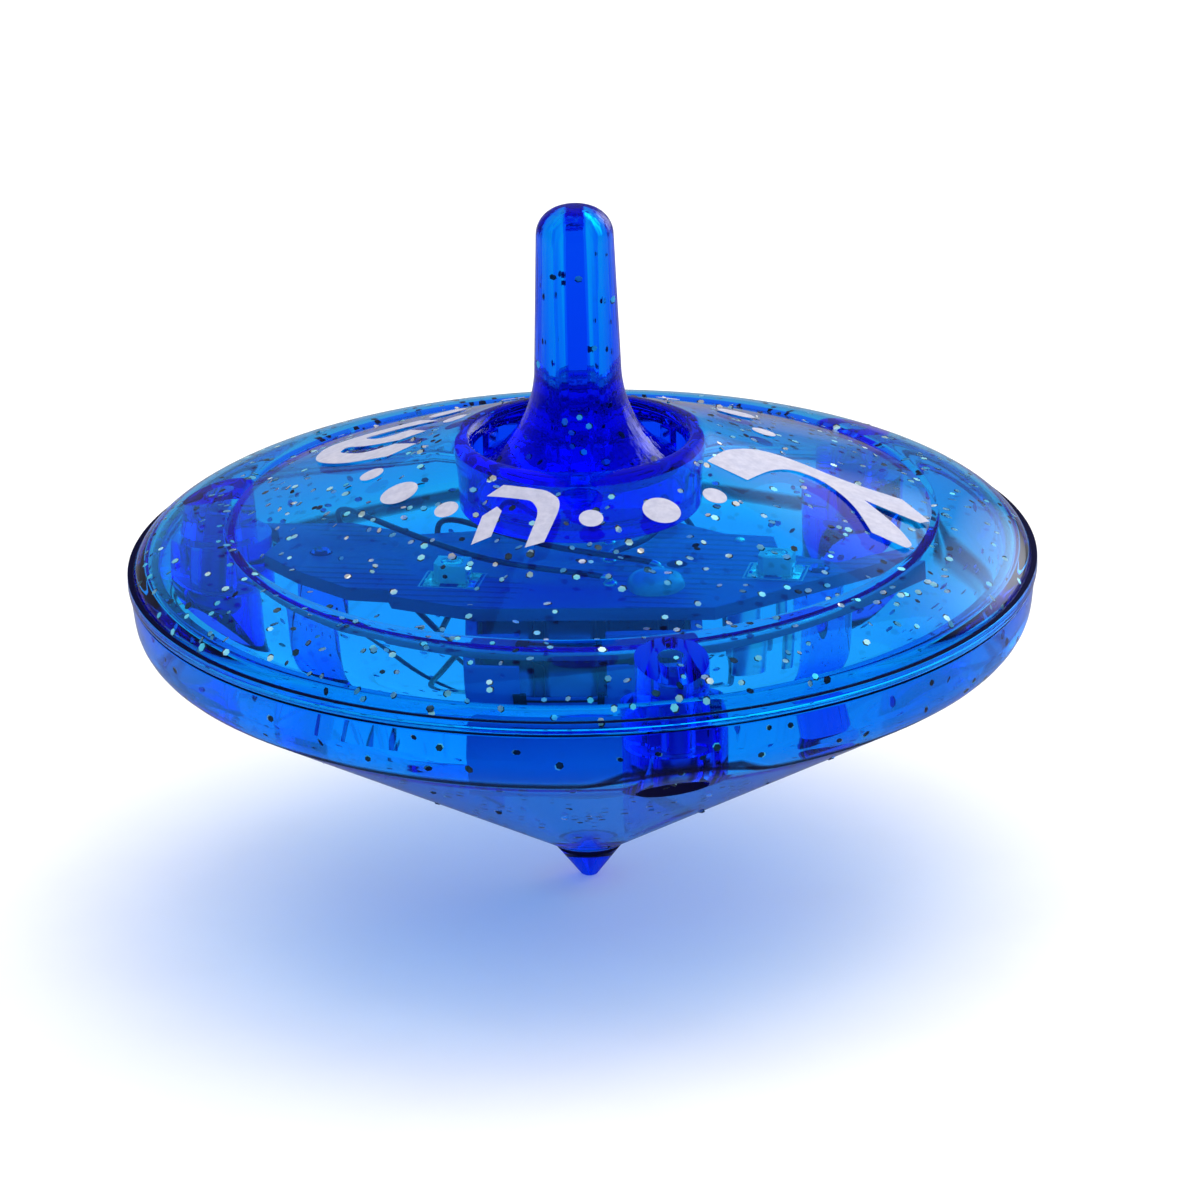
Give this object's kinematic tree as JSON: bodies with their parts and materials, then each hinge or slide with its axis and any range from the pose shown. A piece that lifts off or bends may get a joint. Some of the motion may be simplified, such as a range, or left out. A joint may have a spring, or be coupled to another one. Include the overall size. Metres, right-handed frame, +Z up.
{
  "type": "spinning top dreidel",
  "caption": "Transparent light-up spinning-top dreidel: two-part saucer shell on a pointed tip, finger stem in a collar, and a lamp circuit inside",
  "frame": {"origin": "centre of the flat at the tip, where the top touches the table; lowest point of the part, on the spin axis", "axes": "+Z up along the spin axis towards the stem; -Y towards the picture's camera; +X to its right"},
  "size_m": [0.08, 0.08, 0.0625],
  "materials": {
    "clear_blue": "transparent blue moulded plastic with glitter",
    "stem_blue": "transparent blue moulded plastic with glitter",
    "screw_steel": "plated steel",
    "board": "solder mask over laminate",
    "solder": "tinned",
    "lamp_resin": "clear cast resin",
    "chip_resin": "cast resin drop",
    "box_plastic": "moulded",
    "cell_steel": "nickel-plated",
    "contact_metal": "spring strip",
    "switch_plastic": "moulded",
    "buzzer_brass": "rolled sheet",
    "buzzer_white": "silvered ceramic disc",
    "wire_red": "insulated wire",
    "wire_black": "insulated wire"
  },
  "bodies": {
    "body": {"upper_shell": "clear_blue", "lower_shell": "clear_blue", "stem": "stem_blue", "shell_screws": "screw_steel", "circuit_board": "board", "lamp_pads": "solder", "led_right": "lamp_resin", "led_left": "lamp_resin", "chip_drop": "chip_resin", "battery_box": "box_plastic", "button_cell_1": "cell_steel", "button_cell_2": "cell_steel", "button_cell_3": "cell_steel", "contact_plate": "contact_metal", "contact_leaf": "contact_metal", "switch_base": "switch_plastic", "switch_post": "contact_metal", "buzzer_plate": "buzzer_brass", "buzzer_ceramic": "buzzer_white", "wire_plus": "wire_red", "wire_minus": "wire_black", "wire_buzzer_plate": "wire_black", "wire_buzzer_ceramic": "wire_red"},
    "switch_arm": {"switch_arm": "contact_metal", "switch_weight": "screw_steel"}
  },
  "joints": [
    {"name": "spin_switch", "type": "hinge", "parent": "body", "child": "switch_arm", "pos_m": [0.01401, 0.00449, 0.0246], "axis": [0, 0, 1], "range_deg": [0, 9], "stiffness_Nm_per_rad": 0.0008}
  ]
}
